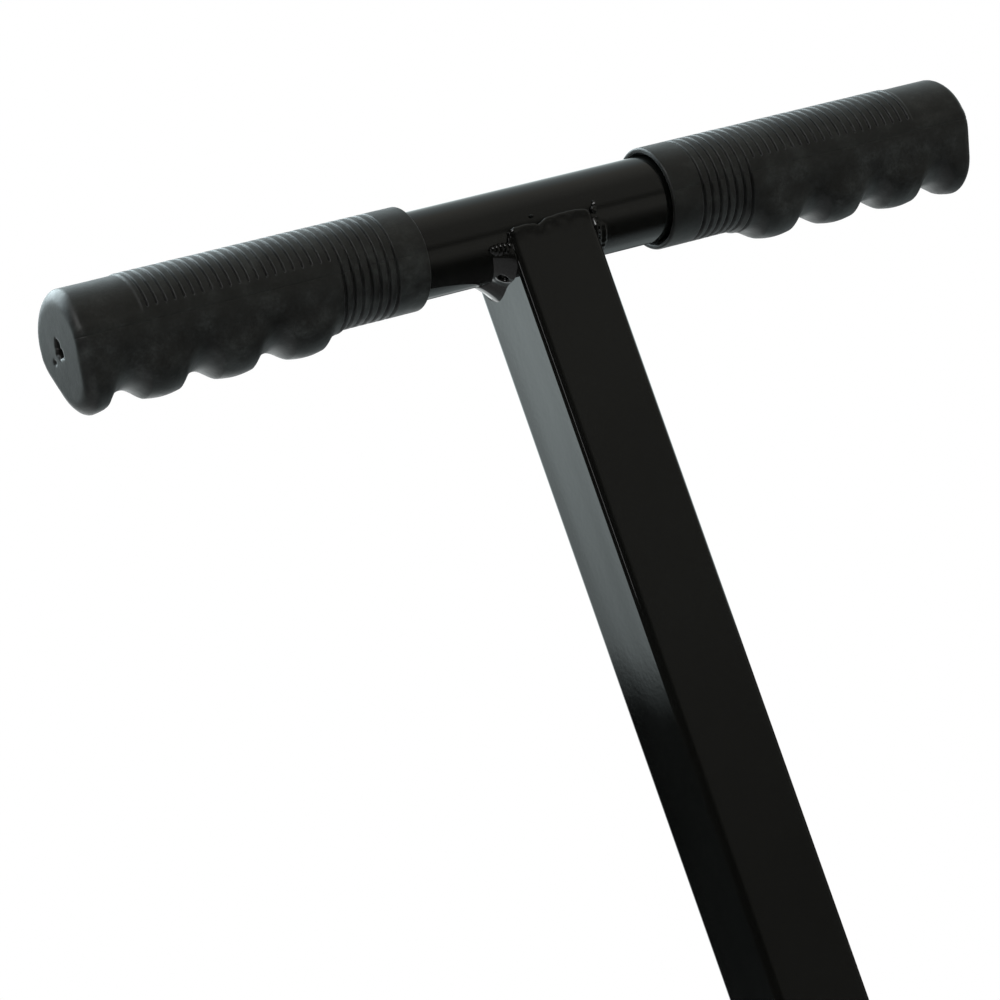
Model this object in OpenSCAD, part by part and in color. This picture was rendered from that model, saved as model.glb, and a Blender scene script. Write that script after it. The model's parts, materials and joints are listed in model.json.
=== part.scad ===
// Slide-hammer post driver with a T handle.
// Millimetres. The origin is the centre of the socket's lower rim, +Z is up,
// +X runs along the handle to the right and -Y is the front.

/* [Handle] */
// Outer diameter of the crossbar tube
crossbar_d = 27; // [26:0.5:28]
// Wall of the crossbar tube
crossbar_wall = 2; // [1.5:0.5:3]
// Overall width over both grips
handle_span = 317; // [300:1:360]
// Height of the crossbar's axis above the socket's rim
handle_height = 1000; // [980:5:1040]

/* [Grips] */
// Length of one grip
grip_length = 115; // [110:1:118]
// Rubber thickness around the crossbar
grip_wall = 2.5; // [2:0.25:3]
// Rubber thickness over the crossbar's end
grip_end_wall = 4; // [3:0.5:6]
// Distance from the grip's inner end to the first finger valley
collar_length = 28.8; // [28:0.2:30]
// Depth of the finger lobes below the crossbar's axis
lobe_drop = 22; // [21:0.1:23]
// Distance from one finger valley to the next
finger_pitch = 23.8; // [23:0.1:24]
// Height of a finger valley above the tips of the lobes
valley_rise = 5; // [4:0.25:5]
// Radius of the cutter that makes a finger valley
valley_radius = 6.8; // [6:0.2:8]
// Number of ring grooves in the collar
ring_count = 7; // [5:1:7]

/* [Upright] */
// Side of the square upright tube
upright_size = 30; // [30:1:31]
// Wall of the upright tube
upright_wall = 2; // [1.5:0.5:2.5]
// Outer corner radius of the upright tube
upright_corner = 2.8; // [2:0.2:3.4]

/* [Ram] */
// Travel of the ram from the anvil to the end of the slots
stroke = 280; // [200:10:300]
// Length of the solid weight bar inside the upright
weight_length = 400; // [300:10:450]
// Height of the striker block
striker_height = 30; // [25:1:40]

/* [Guide] */
// Side of the square guide sleeve
sleeve_size = 50; // [50:1:52]
// Wall of the guide sleeve
sleeve_wall = 3; // [2.5:0.5:3]
// Length of the guide sleeve
sleeve_length = 500; // [480:10:520]
// Width of the front and back slots
slot_width = 15; // [15:0.5:17]
// Depth of the plastic bush inside the sleeve
bush_depth = 40; // [30:5:60]
// Thickness of the bush's flange on the sleeve's end
bush_flange = 4; // [3:0.5:6]

/* [Socket and anvil] */
// Outer diameter of the socket pipe
socket_d = 60.3; // [60.3:0.1:64]
// Wall of the socket pipe
socket_wall = 3.6; // [3.2:0.2:4]
// Length of the socket pipe
socket_length = 180; // [150:10:200]
// Side of the square anvil plate
anvil_size = 90; // [90:1:100]
// Thickness of the anvil plate
anvil_thickness = 12; // [10:1:15]

/* [Hidden] */

// Facets of a full circle
$fn = 64;
// Extra length of a cutter past the face it cuts
past = 1;

// Colours
paint_black = "#1b1c1e";
rubber_black = "#26282a";
steel_bare = "#8d8f92";
steel_zinc = "#b9bcc0";
plastic_black = "#141414";

// Heights of the stack, from the rim up
anvil_z = socket_length;
sleeve_z = anvil_z + anvil_thickness;
upright_z = sleeve_z + striker_height;
sleeve_top_z = sleeve_z + sleeve_length;

// Handle
crossbar_r = crossbar_d / 2;
crossbar_half = handle_span / 2 - grip_end_wall;
grip_r = crossbar_r + grip_wall;
grip_inner_x = handle_span / 2 - grip_length;
collar_end_x = grip_inner_x + collar_length;
vent_r = 1.6;
ring_pitch = 2.95;
ring_width = 1.2;
ring_depth = 0.6;
// Plain stretch between the last ring groove and the finger lobes
ring_margin = 0.6;
finger_lobes = 4;
// Radius of the underside of a finger lobe
lobe_r = 12;

// The front and back walls of the upright end this far below the crossbar's axis
cope_drop = 2.5;
// Radius and centre of the bead that closes the front and back walls on the crossbar
cope_bead_r = 2.4;
cope_bead_y = upright_size / 2 - 1.9;
cope_bead_drop = 1.6;
// Legs of the side beads, along the crossbar and down the upright
side_bead_reach = 6;
side_bead_drop = 4.5;
side_bead_top = 3;

// Ram
weight_play = 0.25;
weight_size = upright_size - 2 * (upright_wall + weight_play);
striker_play = 0.5;
striker_size = sleeve_size - 2 * (sleeve_wall + striker_play);
striker_corner = 3;
striker_weld_leg = 5;
plug_weld_r = 6;
plug_weld_heights = [70, 300];

// Stop bolt, M10
bolt_d = 10;
bolt_hole_d = 10.5;
bolt_length = 70;
bolt_head = 6.4;
bolt_across_corners = 18.5;
bolt_z = upright_z + 40;
washer_d = 30;
washer_thickness = 2.5;
washer_play = 0.4;
spacer_d = 14;
washer_y = sleeve_size / 2 + washer_play;
head_y = washer_y + washer_thickness;
nut_height = 8;
nut_collar_height = 2;
nut_collar_d = 15.5;
insert_d = 12.8;
insert_height = 1.6;

// Guide sleeve and bush
sleeve_corner = 4;
sleeve_bore = sleeve_size - 2 * sleeve_wall;
slot_below = 8;
slot_low_z = bolt_z - slot_below;
slot_high_z = bolt_z + stroke;
bush_play = 0.4;
bush_bore = upright_size + 2 * bush_play;
screw_d = 4.8;
screw_length = 8;
screw_head_d = 9;
screw_head = 2.6;
screw_head_rim = 1;
screw_key_d = 3.5;
screw_key_depth = 1.5;
screw_hole_d = 5;
screw_z = sleeve_top_z - 20;
screw_spacing = 22;

// Base
anvil_corner = 6;
sleeve_weld_leg = 5;
gusset_height = 45;
gusset_thickness = 6;
gusset_toe = 8;
gusset_snipe = 7;
gusset_weld_leg = 3;
gusset_reach = (anvil_size - sleeve_size) / 2 - 2;
socket_weld_leg = 5;

// A square with rounded corners, centred
module rounded_square(side, corner) {
    inset = side / 2 - corner;
    square([side, side - 2 * corner], center = true);
    square([side - 2 * corner, side], center = true);
    for (sx = [-1, 1], sy = [-1, 1])
        translate([sx * inset, sy * inset]) circle(r = corner);
}

// A square bar with rounded edges, standing on z
module square_bar(side, corner, z, height) {
    translate([0, 0, z]) linear_extrude(height) rounded_square(side, corner);
}

// A round bar along X from x0 to x1 at the crossbar's height
module bar_x(r, x0, x1) {
    translate([x0, 0, handle_height]) rotate([0, 90, 0]) cylinder(r = r, h = x1 - x0);
}

// A round bar along Y from y0 to y1 at the stop bolt's height
module bar_y(d, y0, y1) {
    translate([0, y0, bolt_z]) rotate([-90, 0, 0]) cylinder(d = d, h = y1 - y0);
}

// A hexagon bar along Y from y0 to y1 at the stop bolt's height
module hex_y(d, y0, y1) {
    translate([0, y0, bolt_z]) rotate([-90, 0, 0]) cylinder(d = d, h = y1 - y0, $fn = 6);
}

module crossbar() {
    color(paint_black) difference() {
        bar_x(crossbar_r, -crossbar_half, crossbar_half);
        bar_x(crossbar_r - crossbar_wall, -crossbar_half - past, crossbar_half + past);
    }
}

// The whole outline of the upright, as a solid bar coped to the crossbar
module upright_blank(side, corner) {
    difference() {
        square_bar(side, corner, upright_z, handle_height - cope_drop - upright_z);
        bar_x(crossbar_r, -upright_size, upright_size);
    }
}

module upright() {
    bore = upright_size - 2 * upright_wall;
    color(paint_black) difference() {
        upright_blank(upright_size, upright_corner);
        translate([-bore / 2, -bore / 2, upright_z - past])
            cube([bore, bore, handle_height - upright_z]);
        bar_y(bolt_hole_d, -upright_size, upright_size);
        plug_weld_holes(upright_size);
    }
}

// Round bars along X through the side walls, where the weight is plug welded
module plug_weld_holes(reach) {
    for (h = plug_weld_heights)
        translate([-reach, 0, upright_z + h]) rotate([0, 90, 0]) cylinder(r = plug_weld_r, h = 2 * reach);
}

// A bead along the top of the upright's front or back wall, side is -1 or 1
module cope_bead(side) {
    half = upright_size / 2;
    color(paint_black) difference() {
        translate([-half, side * cope_bead_y, handle_height - cope_bead_drop])
            rotate([0, 90, 0]) cylinder(r = cope_bead_r, h = 2 * half);
        bar_x(crossbar_r, -upright_size, upright_size);
        translate([-upright_size, -upright_size, upright_z])
            cube([2 * upright_size, 2 * upright_size, handle_height - cope_drop - upright_z]);
    }
}

module front_weld() { cope_bead(-1); }
module back_weld() { cope_bead(1); }

// A bead around the crossbar on the upright's left or right face, side is -1 or 1
module side_bead(side) {
    face = upright_size / 2;
    depth = upright_size / 2 - 0.5;
    color(paint_black) difference() {
        translate([side * face, 0, handle_height]) rotate([0, side * 90, 0])
            cylinder(r1 = crossbar_r + side_bead_drop, r2 = crossbar_r, h = side_bead_reach);
        bar_x(crossbar_r, -2 * upright_size, 2 * upright_size);
        translate([-2 * upright_size, -upright_size, handle_height - side_bead_top])
            cube([4 * upright_size, 2 * upright_size, upright_size]);
        for (sy = [-1, 1])
            translate([-2 * upright_size, sy * (depth + upright_size / 2) - upright_size / 2,
                       handle_height - upright_size])
                cube([4 * upright_size, upright_size, upright_size]);
    }
}

module left_weld() { side_bead(-1); }
module right_weld() { side_bead(1); }

// Section of the lobed stretch: the grip's round top drawn down to a narrower underside
module lobe_section() {
    drop = lobe_drop - lobe_r;
    slope = asin((grip_r - lobe_r) / drop);
    circle(r = grip_r);
    translate([0, -drop]) circle(r = lobe_r);
    polygon([[grip_r * cos(slope), -grip_r * sin(slope)],
             [lobe_r * cos(slope), -drop - lobe_r * sin(slope)],
             [-lobe_r * cos(slope), -drop - lobe_r * sin(slope)],
             [-grip_r * cos(slope), -grip_r * sin(slope)]]);
}

// The right grip, which mirrors to the left one
module grip_shape() {
    lobes_x = collar_end_x;
    first_ring_x = collar_end_x - ring_margin - ring_width - (ring_count - 1) * ring_pitch;
    color(rubber_black) difference() {
        union() {
            bar_x(grip_r, grip_inner_x, handle_span / 2);
            translate([lobes_x, 0, handle_height]) rotate([90, 0, 90])
                linear_extrude(handle_span / 2 - lobes_x) lobe_section();
        }
        bar_x(crossbar_r, grip_inner_x - past, crossbar_half);
        bar_x(vent_r, crossbar_half - past, handle_span / 2 + past);
        for (i = [0 : finger_lobes - 1])
            translate([lobes_x + i * finger_pitch, -upright_size,
                       handle_height - lobe_drop + valley_rise - valley_radius])
                rotate([-90, 0, 0]) cylinder(r = valley_radius, h = 2 * upright_size);
        for (i = [0 : ring_count - 1])
            translate([i * ring_pitch, 0, 0]) difference() {
                bar_x(grip_r + past, first_ring_x, first_ring_x + ring_width);
                bar_x(grip_r - ring_depth, first_ring_x - past, first_ring_x + ring_width + past);
            }
    }
}

module right_grip() { grip_shape(); }
module left_grip() { mirror([1, 0, 0]) grip_shape(); }

module ram_weight() {
    color(steel_bare) difference() {
        translate([-weight_size / 2, -weight_size / 2, upright_z])
            cube([weight_size, weight_size, weight_length]);
        bar_y(bolt_hole_d, -upright_size, upright_size);
    }
}

module weight_plug_welds() {
    color(steel_bare) difference() {
        plug_weld_holes(upright_size / 2);
        translate([-weight_size / 2, -upright_size, upright_z])
            cube([weight_size, 2 * upright_size, weight_length]);
    }
}

module striker() {
    color(steel_bare) square_bar(striker_size, striker_corner, sleeve_z, striker_height);
}

// A bead of triangular section along X from x = 0, in the corner of -Y and -Z
module corner_bead(leg, length) {
    rotate([90, 0, 90]) linear_extrude(length) polygon([[0, 0], [leg, 0], [0, leg]]);
}

// A fillet of one leg around a square bar that stands on a face at z
module square_fillet(side, corner, leg, z) {
    straight = side - 2 * corner;
    difference() {
        for (turn = [0 : 90 : 270]) rotate([0, 0, turn]) {
            translate([-straight / 2, side / 2, z]) corner_bead(leg, straight);
            translate([straight / 2, straight / 2, z]) cylinder(r1 = corner + leg, r2 = corner, h = leg);
        }
        square_bar(side, corner, z - past, leg + 2 * past);
    }
}

module striker_weld() {
    color(steel_bare) square_fillet(upright_size, upright_corner, striker_weld_leg, upright_z);
}

module stop_bolt() {
    color(steel_zinc) {
        hex_y(bolt_across_corners, -head_y - bolt_head, -head_y);
        bar_y(bolt_d, -head_y - bolt_head / 2, bolt_length - head_y);
    }
}

// A tube on the stop bolt between the upright and a washer, side is -1 or 1
module spacer(side) {
    near = upright_size / 2;
    color(steel_zinc) difference() {
        bar_y(spacer_d, side > 0 ? near : -washer_y, side > 0 ? washer_y : -near);
        bar_y(bolt_hole_d, -sleeve_size, sleeve_size);
    }
}

module front_spacer() { spacer(-1); }
module back_spacer() { spacer(1); }

module stop_washers() {
    color(steel_zinc) difference() {
        union() {
            bar_y(washer_d, -head_y, -washer_y);
            bar_y(washer_d, washer_y, head_y);
        }
        bar_y(bolt_hole_d, -sleeve_size, sleeve_size);
    }
}

module stop_nut() {
    top = head_y + nut_height + nut_collar_height;
    color(steel_zinc) difference() {
        union() {
            hex_y(bolt_across_corners, head_y, head_y + nut_height);
            bar_y(nut_collar_d, head_y + nut_height / 2, top);
        }
        bar_y(bolt_d, 0, top + past);
        bar_y(insert_d, top - insert_height, top + past);
    }
}

module nut_insert() {
    top = head_y + nut_height + nut_collar_height;
    color(plastic_black) difference() {
        bar_y(insert_d, top - insert_height, top);
        bar_y(bolt_d, 0, top + past);
    }
}

// Round or tapered bars along X at the bush screws, with a diameter for each end
module screw_bars(d0, d1, x0, x1, sides = $fn) {
    for (turn = [0, 180], sy = [-1, 1])
        rotate([0, 0, turn]) translate([x0, sy * screw_spacing / 2, screw_z])
            rotate([0, 90, 0]) cylinder(d1 = d0, d2 = d1, h = x1 - x0, $fn = sides);
}

module guide_sleeve() {
    half = sleeve_bore / 2;
    color(paint_black) difference() {
        square_bar(sleeve_size, sleeve_corner, sleeve_z, sleeve_length);
        translate([-half, -half, sleeve_z - past])
            cube([sleeve_bore, sleeve_bore, sleeve_length + 2 * past]);
        for (z = [slot_low_z, slot_high_z])
            translate([0, -sleeve_size, z]) rotate([-90, 0, 0])
                cylinder(d = slot_width, h = 2 * sleeve_size);
        translate([-slot_width / 2, -sleeve_size, slot_low_z])
            cube([slot_width, 2 * sleeve_size, slot_high_z - slot_low_z]);
        screw_bars(screw_hole_d, screw_hole_d, half - past, sleeve_size / 2 + past);
    }
}

module guide_bush() {
    color(plastic_black) difference() {
        union() {
            translate([-sleeve_bore / 2, -sleeve_bore / 2, sleeve_top_z - bush_depth])
                cube([sleeve_bore, sleeve_bore, bush_depth]);
            square_bar(sleeve_size, sleeve_corner, sleeve_top_z, bush_flange);
        }
        translate([0, 0, sleeve_top_z - bush_depth - past])
            linear_extrude(bush_depth + bush_flange + 2 * past)
                square(bush_bore, center = true);
        screw_bars(screw_d, screw_d, sleeve_size / 2 - screw_length, sleeve_size / 2);
    }
}

module bush_screws() {
    face = sleeve_size / 2;
    color(steel_zinc) difference() {
        union() {
            screw_bars(screw_d, screw_d, face - screw_length, face + screw_head_rim);
            screw_bars(screw_head_d, screw_head_d, face, face + screw_head_rim);
            screw_bars(screw_head_d, screw_head_d / 2, face + screw_head_rim, face + screw_head);
        }
        screw_bars(screw_key_d, screw_key_d, face + screw_head - screw_key_depth,
                   face + screw_head + past, 6);
    }
}

module anvil_plate() {
    color(paint_black) square_bar(anvil_size, anvil_corner, anvil_z, anvil_thickness);
}

// A gusset plate standing on the anvil against the sleeve, turned to one side
module gusset(turn) {
    color(paint_black) rotate([0, 0, turn])
        translate([sleeve_size / 2, gusset_thickness / 2, sleeve_z]) rotate([90, 0, 0])
            linear_extrude(gusset_thickness)
                polygon([[gusset_snipe, 0], [gusset_reach, 0], [gusset_reach, gusset_toe],
                         [gusset_toe, gusset_height], [0, gusset_height], [0, gusset_snipe]]);
}

module right_gusset() { gusset(0); }
module back_gusset() { gusset(90); }
module left_gusset() { gusset(180); }
module front_gusset() { gusset(270); }

module gusset_welds() {
    leg = gusset_weld_leg;
    foot = gusset_reach - gusset_snipe;
    back = gusset_height - gusset_snipe;
    color(paint_black) for (turn = [0 : 90 : 270]) rotate([0, 0, turn])
        for (side = [0, 1]) mirror([0, side, 0]) {
            translate([sleeve_size / 2 + gusset_snipe, gusset_thickness / 2, sleeve_z])
                corner_bead(leg, foot);
            translate([sleeve_size / 2, gusset_thickness / 2, sleeve_z + gusset_height])
                rotate([0, 90, 0]) corner_bead(leg, back);
        }
}

module sleeve_weld() {
    color(paint_black) square_fillet(sleeve_size, sleeve_corner, sleeve_weld_leg, sleeve_z);
}

module socket() {
    color(paint_black) difference() {
        cylinder(d = socket_d, h = socket_length);
        translate([0, 0, -past]) cylinder(r = socket_d / 2 - socket_wall, h = socket_length + 2 * past);
    }
}

module socket_weld() {
    leg = socket_weld_leg;
    color(paint_black) difference() {
        translate([0, 0, socket_length - leg])
            cylinder(r1 = socket_d / 2, r2 = socket_d / 2 + leg, h = leg);
        translate([0, 0, -past]) cylinder(d = socket_d, h = socket_length + 2 * past);
    }
}

crossbar();
upright();
front_weld();
back_weld();
left_weld();
right_weld();
left_grip();
right_grip();
ram_weight();
weight_plug_welds();
striker();
striker_weld();
stop_bolt();
front_spacer();
back_spacer();
stop_washers();
stop_nut();
nut_insert();
guide_sleeve();
guide_bush();
bush_screws();
anvil_plate();
front_gusset();
back_gusset();
left_gusset();
right_gusset();
gusset_welds();
sleeve_weld();
socket();
socket_weld();
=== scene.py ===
import json
import math

import bmesh
import bpy
import numpy as np
from mathutils import Matrix, Vector, noise


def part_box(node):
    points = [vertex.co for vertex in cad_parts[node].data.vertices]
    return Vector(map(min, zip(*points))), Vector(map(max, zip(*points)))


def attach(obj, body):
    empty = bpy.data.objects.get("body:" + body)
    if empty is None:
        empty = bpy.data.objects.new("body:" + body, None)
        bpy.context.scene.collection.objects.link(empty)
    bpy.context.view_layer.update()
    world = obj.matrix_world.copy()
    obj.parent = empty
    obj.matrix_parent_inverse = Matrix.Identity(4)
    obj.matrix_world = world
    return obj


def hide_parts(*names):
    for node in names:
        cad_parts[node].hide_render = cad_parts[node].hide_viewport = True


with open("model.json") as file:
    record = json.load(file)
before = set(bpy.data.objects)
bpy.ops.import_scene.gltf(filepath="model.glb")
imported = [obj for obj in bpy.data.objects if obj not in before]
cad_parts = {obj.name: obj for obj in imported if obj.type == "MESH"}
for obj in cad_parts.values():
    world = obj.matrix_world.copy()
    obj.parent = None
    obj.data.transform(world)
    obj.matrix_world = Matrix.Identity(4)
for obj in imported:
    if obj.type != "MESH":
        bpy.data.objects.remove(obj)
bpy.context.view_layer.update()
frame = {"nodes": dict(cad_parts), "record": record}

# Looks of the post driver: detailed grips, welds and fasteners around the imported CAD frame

MM = 0.001

# ---------------- measures from the frame
BAR_LOW, BAR_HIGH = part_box("crossbar")
BAR_Z = (BAR_LOW.z + BAR_HIGH.z) / 2
BAR_R = (BAR_HIGH.z - BAR_LOW.z) / 2
GRIP_LOW, GRIP_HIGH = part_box("right_grip")
GRIP_R = GRIP_HIGH.z - BAR_Z
LOBE_DROP = BAR_Z - GRIP_LOW.z
POST_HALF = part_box("upright")[1].x
POST_CORNER = 2.8 * MM

# ---------------- camera
CAMERA_AZIMUTH = math.radians(-28.57)
CAMERA_ELEVATION = math.radians(-6.18)
CAMERA_ROLL = math.radians(-19.25)
CAMERA_DISTANCE = 1.2155
CAMERA_LENS = 144.40
# How far right of and above the frame's centre the crossbar's middle appears, at its distance
BAR_RIGHT_OF_CENTRE = 8.23 * MM
BAR_ABOVE_CENTRE = 82.21 * MM


def make_camera():
    azimuth, elevation = CAMERA_AZIMUTH, CAMERA_ELEVATION
    back = Vector((math.sin(azimuth) * math.cos(elevation),
                   -math.cos(azimuth) * math.cos(elevation),
                   math.sin(elevation)))
    level = Vector((math.cos(azimuth), math.sin(azimuth), 0.0))
    upward = back.cross(level)
    right = math.cos(CAMERA_ROLL) * level + math.sin(CAMERA_ROLL) * upward
    up = math.cos(CAMERA_ROLL) * upward - math.sin(CAMERA_ROLL) * level
    data = bpy.data.cameras.new("camera")
    data.lens = CAMERA_LENS
    data.sensor_width = 36.0
    data.clip_start = 0.05
    data.clip_end = 50.0
    camera = bpy.data.objects.new("camera", data)
    bpy.context.scene.collection.objects.link(camera)
    place = Vector((0.0, 0.0, BAR_Z)) + CAMERA_DISTANCE * back
    place -= BAR_RIGHT_OF_CENTRE * right + BAR_ABOVE_CENTRE * up
    turn = Matrix((right, up, back)).transposed()
    camera.matrix_world = Matrix.Translation(place) @ turn.to_4x4()
    bpy.context.scene.camera = camera


# ---------------- studio
def area_light(name, place, aim, size, power, colour=(1.0, 1.0, 1.0)):
    data = bpy.data.lights.new(name, "AREA")
    data.shape = "RECTANGLE"
    data.size, data.size_y = size
    data.energy = power
    data.color = colour
    light = bpy.data.objects.new(name, data)
    bpy.context.scene.collection.objects.link(light)
    light.location = place
    light.rotation_mode = "QUATERNION"
    light.rotation_quaternion = (Vector(aim) - Vector(place)).to_track_quat("-Z", "Y")
    light.visible_camera = False
    return light


# Brightness of the surroundings at heights from straight down (-1) to straight up (1)
BRIGHT_SIDE = [(-1.0, 0.25), (-0.85, 0.42), (-0.56, 0.66), (-0.3, 0.38), (-0.12, 0.05), (0.048, 0.018),
               (0.052, 0.10), (0.055, 0.32), (0.0585, 0.84), (0.070, 1.07), (0.15, 1.85), (0.35, 1.10),
               (0.75, 0.65), (1.0, 0.52)]
DARK_SIDE = [(-1.0, 0.20), (-0.92, 0.02), (-0.74, 0.03), (-0.62, 0.12), (-0.46, 0.28), (-0.33, 0.30),
             (-0.17, 0.28), (-0.08, 0.16), (-0.01, 0.14), (0.07, 0.20), (0.15, 0.26), (0.6, 0.27),
             (0.88, 0.40), (1.0, 0.52)]
BRIGHTEST = 2.0
# The bright wall lies on this side of the object and stops short of its left
WALL_SIDE = (0.83, 0.55, 0.0)
WALL_EDGE = (-0.02, 0.05)
WALL_START_Y = (-0.10, 0.35)
# How far towards the wall the directions lie that the upright's left face mirrors, left edge last,
# and over that range the shift in height and the share of brightness
LEFT_FACE = (0.062, 0.073)
LEFT_FACE_SHIFT = (0.0025, -0.0015)
LEFT_FACE_SHARE = (1.20, 0.80)
BRIGHT_TINT = (0.88, 1.0, 1.01)
DARK_TINT = (1.0, 0.99, 0.90)
# The dark side fades to the left over this range of X, down to this share
LEFT_SHADE_X = (-0.55, 0.0)
LEFT_SHADE_SHARE = (0.25, 1.0)

# Soft lights in the surroundings: direction, outer and inner edge in degrees, level
SOFT_PATCHES = [((-0.55, 0.10, -0.83), 48, 24, (0.36, 0.36, 0.36)),
                ((0.10, 0.95, -0.30), 26, 15, (2.1, 2.2, 2.2)),
                ((-0.60, -0.60, 0.53), 14, 8, (7.0, 7.0, 7.0)),
                ((-0.15, 0.60, 0.78), 31, 20, (7.0, 8.2, 8.6))]


def map_range(tree, value, source, target=(0.0, 1.0), interpolation="LINEAR"):
    """Maps the source range of a value to the target range, and clamps it there."""
    node = tree.nodes.new("ShaderNodeMapRange")
    node.interpolation_type = interpolation
    for socket, limit in zip(("From Min", "From Max", "To Min", "To Max"), (*source, *target)):
        node.inputs[socket].default_value = limit
    tree.links.new(value, node.inputs["Value"])
    return node.outputs["Result"]


def towards_side(tree, coords, side):
    """How far a direction points to a side, as their dot product."""
    node = tree.nodes.new("ShaderNodeVectorMath")
    node.operation = "DOT_PRODUCT"
    node.inputs[1].default_value = side
    tree.links.new(coords, node.inputs[0])
    return node.outputs["Value"]


def combine(tree, operation, first, second):
    node = tree.nodes.new("ShaderNodeMath")
    node.operation = operation
    tree.links.new(first, node.inputs[0])
    tree.links.new(second, node.inputs[1])
    return node.outputs["Value"]


def add_patch(tree, coords, colour, towards, outer, inner, level):
    """Mixes a round soft light into the surroundings' colour."""
    facing = towards_side(tree, coords, Vector(towards).normalized())
    edges = (math.cos(math.radians(outer)), math.cos(math.radians(inner)))
    patch = map_range(tree, facing, edges, interpolation="SMOOTHSTEP")
    return mix_colour(tree, patch, colour, [channel / BRIGHTEST for channel in level])


def surroundings(tree, height, levels):
    """The brightness of one side of the studio by height, as a share of the brightest."""
    stops = [((level + 1) / 2, value / BRIGHTEST) for level, value in levels]
    return ramp(tree, height, stops)


def make_world():
    """A white background to the camera, and to the object a soft studio with a bright wall behind."""
    world = bpy.data.worlds.new("studio")
    bpy.context.scene.world = world
    world.use_nodes = True
    tree = world.node_tree
    tree.nodes.clear()
    coords = tree.nodes.new("ShaderNodeTexCoord").outputs["Generated"]
    split = tree.nodes.new("ShaderNodeSeparateXYZ")
    tree.links.new(coords, split.inputs["Vector"])
    height = map_range(tree, split.outputs["Z"], (-1.0, 1.0))
    behind = map_range(tree, split.outputs["Y"], WALL_START_Y, interpolation="SMOOTHSTEP")
    wall = towards_side(tree, coords, WALL_SIDE)
    wall_share = map_range(tree, wall, WALL_EDGE, interpolation="SMOOTHSTEP")
    slope = map_range(tree, wall, LEFT_FACE, LEFT_FACE_SHIFT)
    bright = surroundings(tree, combine(tree, "ADD", height, slope), BRIGHT_SIDE)
    bright = mix_colour(tree, 1.0, bright, BRIGHT_TINT, "MULTIPLY")
    face_share = map_range(tree, wall, LEFT_FACE, LEFT_FACE_SHARE)
    bright = mix_colour(tree, 1.0, bright, face_share, "MULTIPLY")
    dark = surroundings(tree, height, DARK_SIDE)
    dark = mix_colour(tree, 1.0, dark, DARK_TINT, "MULTIPLY")
    left_shade = map_range(tree, split.outputs["X"], LEFT_SHADE_X, LEFT_SHADE_SHARE)
    dark = mix_colour(tree, 1.0, dark, left_shade, "MULTIPLY")
    colour = mix_colour(tree, combine(tree, "MULTIPLY", behind, wall_share), dark, bright)
    for towards, outer, inner, level in SOFT_PATCHES:
        colour = add_patch(tree, coords, colour, towards, outer, inner, level)
    lit = tree.nodes.new("ShaderNodeBackground")
    lit.inputs["Strength"].default_value = BRIGHTEST
    tree.links.new(colour, lit.inputs["Color"])
    seen = tree.nodes.new("ShaderNodeBackground")
    seen.inputs["Color"].default_value = (1.0, 1.0, 1.0, 1.0)
    path = tree.nodes.new("ShaderNodeLightPath")
    mix = tree.nodes.new("ShaderNodeMixShader")
    out = tree.nodes.new("ShaderNodeOutputWorld")
    tree.links.new(path.outputs["Is Camera Ray"], mix.inputs["Fac"])
    tree.links.new(lit.outputs["Background"], mix.inputs[1])
    tree.links.new(seen.outputs["Background"], mix.inputs[2])
    tree.links.new(mix.outputs["Shader"], out.inputs["Surface"])


def make_studio():
    make_world()
    bpy.context.scene.view_settings.view_transform = "Standard"
    handle = (0.0, 0.0, BAR_Z)
    overhead = area_light("overhead", (0.0, 0.3, BAR_Z + 1.6), handle, (2.4, 1.6), 12.0, (0.93, 0.97, 1.0))
    overhead.visible_glossy = False
    area_light("left_strip", (-1.9, -0.15, BAR_Z + 0.42), handle, (0.12, 0.8), 0.9)


def make_floor(material):
    mesh = bpy.data.meshes.new("floor")
    form = bmesh.new()
    bmesh.ops.create_circle(form, cap_ends=True, segments=96, radius=2.2)
    form.to_mesh(mesh)
    form.free()
    mesh.materials.append(material)
    floor = bpy.data.objects.new("floor", mesh)
    bpy.context.scene.collection.objects.link(floor)
    floor.visible_glossy = False


# ---------------- materials
def new_material(name, **sockets):
    material = bpy.data.materials.new(name)
    material.use_nodes = True
    shader = material.node_tree.nodes["Principled BSDF"]
    for socket, value in sockets.items():
        shader.inputs[socket.replace("_", " ")].default_value = value
    return material, material.node_tree, shader


def frame_coords(tree):
    return tree.nodes.new("ShaderNodeTexCoord").outputs["Object"]


def noise_node(tree, coords, size, detail=3.0, roughness=0.5):
    """A cloud texture whose blotches are about size metres across."""
    node = tree.nodes.new("ShaderNodeTexNoise")
    node.inputs["Scale"].default_value = 1.0 / size
    node.inputs["Detail"].default_value = detail
    node.inputs["Roughness"].default_value = roughness
    tree.links.new(coords, node.inputs["Vector"])
    return node.outputs["Fac"]


def ramp(tree, value, stops):
    """Maps a value through stops of (position, colour or grey)."""
    node = tree.nodes.new("ShaderNodeValToRGB")
    elements = node.color_ramp.elements
    while len(elements) > len(stops):
        elements.remove(elements[-1])
    while len(elements) < len(stops):
        elements.new(0.5)
    for element, (position, colour) in zip(elements, stops):
        element.position = position
        if isinstance(colour, (int, float)):
            colour = (colour,) * 3
        element.color = (*colour, 1.0)
    tree.links.new(value, node.inputs["Fac"])
    return node.outputs["Color"]


def bump(tree, height, distance, strength=1.0, normal=None):
    node = tree.nodes.new("ShaderNodeBump")
    node.inputs["Strength"].default_value = strength
    node.inputs["Distance"].default_value = distance
    tree.links.new(height, node.inputs["Height"])
    if normal is not None:
        tree.links.new(normal, node.inputs["Normal"])
    return node.outputs["Normal"]


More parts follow.
